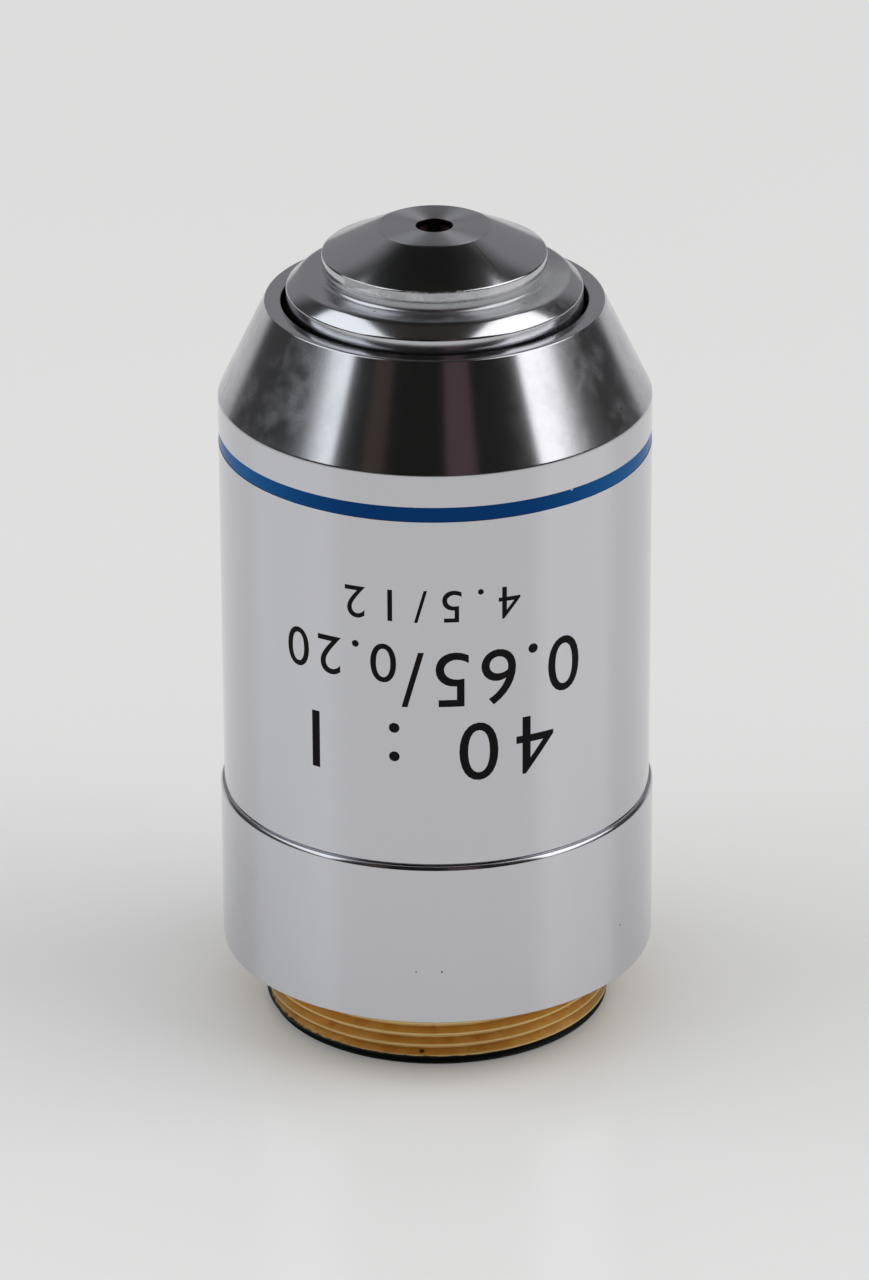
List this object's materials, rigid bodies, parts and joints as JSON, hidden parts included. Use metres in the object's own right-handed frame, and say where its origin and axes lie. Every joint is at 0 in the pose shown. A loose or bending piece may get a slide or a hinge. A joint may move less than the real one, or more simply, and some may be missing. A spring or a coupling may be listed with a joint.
{
  "type": "microscope objective",
  "caption": "Infinity-corrected plan microscope objective with a standard thread, chromed barrel, blue band and a spring-loaded nose that slides in.",
  "frame": {"origin": "on the optical axis in the plane of the rear face, on which the objective stands", "axes": "+Z along the optical axis from the thread to the front lens; +X through the guide screw"},
  "size_m": [0.0252, 0.0252, 0.0484],
  "materials": {
    "chrome": "polished hard chrome on brass",
    "brass": "bare turned brass",
    "black": "blackened, matte",
    "glass": "coated optical glass",
    "enamel": "gloss blue enamel",
    "steel": "bright spring and screw steel"
  },
  "bodies": {
    "mount": {"mount_body": "brass", "lower_barrel": "chrome", "outer_sleeve": "chrome", "colour_band": "enamel", "parfocal_shim": "steel", "guide_screw": "steel", "retraction_spring": "steel"},
    "lens_unit": {"centring_screws": "steel", "doublet_a_cell": "black", "doublet_a_crown": "glass", "doublet_a_flint": "glass", "doublet_a_ring": "black", "doublet_b_cell": "black", "doublet_b_crown": "glass", "doublet_b_flint": "glass", "doublet_b_ring": "black", "front_lens": "glass", "front_lens_ring": "black", "lens_tube": "chrome", "long_spacer": "black", "nose_cap": "chrome", "pupil_stop": "black", "rear_doublet_cell": "black", "rear_doublet_crown": "glass", "rear_doublet_flint": "glass", "rear_doublet_ring": "black", "second_lens": "glass", "second_lens_cell": "black", "second_lens_ring": "black", "stop_ring": "brass", "train_ring": "black"}
  },
  "joints": [
    {"name": "nose_slide", "type": "slide", "parent": "mount", "child": "lens_unit", "axis": [0, 0, 1], "range_m": [-0.002, 0], "stiffness_N_per_m": 900, "springref_m": 0.003, "deforming": ["retraction_spring"]}
  ]
}
